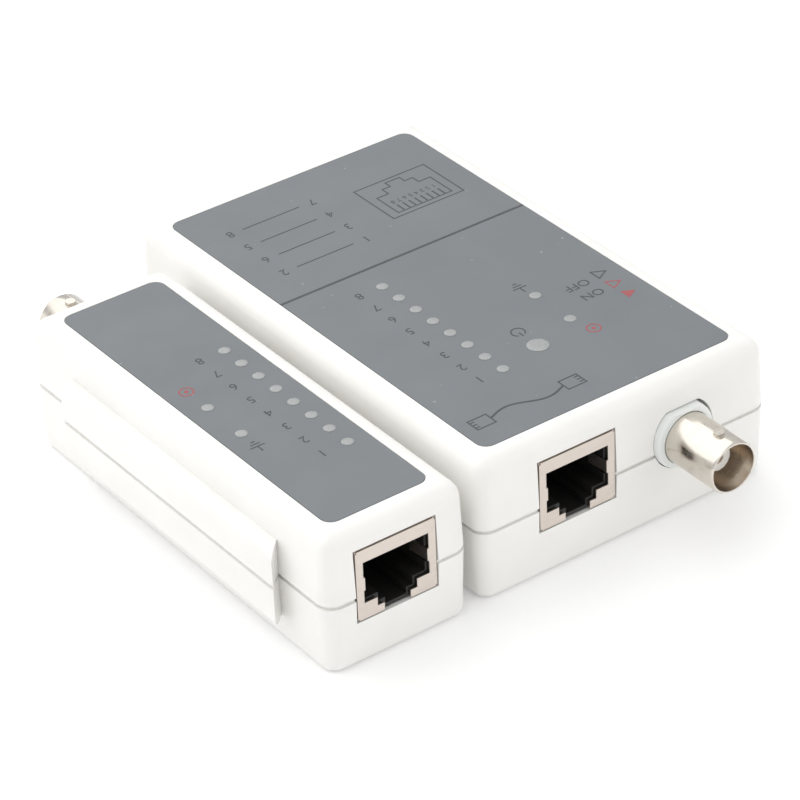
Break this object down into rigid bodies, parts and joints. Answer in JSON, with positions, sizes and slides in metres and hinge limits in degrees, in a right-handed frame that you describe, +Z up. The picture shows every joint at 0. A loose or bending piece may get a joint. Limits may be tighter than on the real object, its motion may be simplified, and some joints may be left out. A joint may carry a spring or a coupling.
{
  "type": "network cable tester",
  "caption": "Handheld network cable tester in two units, main and remote, each with a shielded modular jack and a bayonet coaxial socket.",
  "frame": {"origin": "centre of the main unit's flat base, on the surface that it stands on", "axes": "+Z up, out of the printed tops; -Y the way the main unit's ports face; +X the side of its slide switch, away from the remote unit"},
  "size_m": [0.0973, 0.115, 0.027],
  "materials": {
    "shell": "moulded, fine satin",
    "sheet": "printed sheet, satin",
    "circuit_board": "solder mask",
    "black_plastic": "moulded, satin",
    "lens": "clear-moulded, unlit",
    "steel": "zinc plated",
    "battery_case": "wrapped can",
    "jack_shield": "tin plated sheet",
    "gold_contact": "gold plated",
    "white_plastic": "moulded, satin",
    "dielectric": "moulded, satin",
    "nickel": "nickel plated"
  },
  "bodies": {
    "main_unit": {"main_upper_shell": "shell", "main_lower_shell": "shell", "main_label": "sheet", "main_board": "circuit_board", "main_chip": "black_plastic", "main_pin_led_1": "lens", "main_pin_led_2": "lens", "main_pin_led_3": "lens", "main_pin_led_4": "lens", "main_pin_led_5": "lens", "main_pin_led_6": "lens", "main_pin_led_7": "lens", "main_pin_led_8": "lens", "main_ground_led": "lens", "main_coax_led": "lens", "main_power_led": "lens", "main_case_screw_1": "steel", "main_case_screw_2": "steel", "main_case_screw_3": "steel", "main_case_screw_4": "steel", "switch_body": "steel", "battery": "battery_case", "battery_snap": "black_plastic", "main_jack_shield": "jack_shield", "main_jack_insulator": "black_plastic", "main_jack_contacts": "gold_contact", "main_coax_housing": "white_plastic", "main_coax_barrel": "nickel", "main_coax_dielectric": "dielectric", "main_coax_contact": "gold_contact"},
    "switch_knob": {"switch_knob": "black_plastic"},
    "battery_door": {"battery_door": "shell"},
    "remote_unit": {"remote_upper_shell": "shell", "remote_lower_shell": "shell", "remote_label": "sheet", "remote_board": "circuit_board", "remote_pin_led_1": "lens", "remote_pin_led_2": "lens", "remote_pin_led_3": "lens", "remote_pin_led_4": "lens", "remote_pin_led_5": "lens", "remote_pin_led_6": "lens", "remote_pin_led_7": "lens", "remote_pin_led_8": "lens", "remote_ground_led": "lens", "remote_coax_led": "lens", "remote_case_screw_1": "steel", "remote_case_screw_2": "steel", "remote_jack_shield": "jack_shield", "remote_jack_insulator": "black_plastic", "remote_jack_contacts": "gold_contact", "remote_coax_housing": "white_plastic", "remote_coax_barrel": "nickel", "remote_coax_dielectric": "dielectric", "remote_coax_contact": "gold_contact"}
  },
  "joints": [
    {"name": "power_switch", "type": "slide", "parent": "main_unit", "child": "switch_knob", "axis": [0, -1, 0], "range_m": [0, 0.0082]},
    {"name": "battery_door_slide", "type": "slide", "parent": "main_unit", "child": "battery_door", "axis": [0, 1, 0], "range_m": [0, 0.034]},
    {"name": "remote_away", "type": "slide", "parent": "main_unit", "child": "remote_unit", "axis": [-1, 0, 0], "range_m": [0, 0.1]}
  ]
}
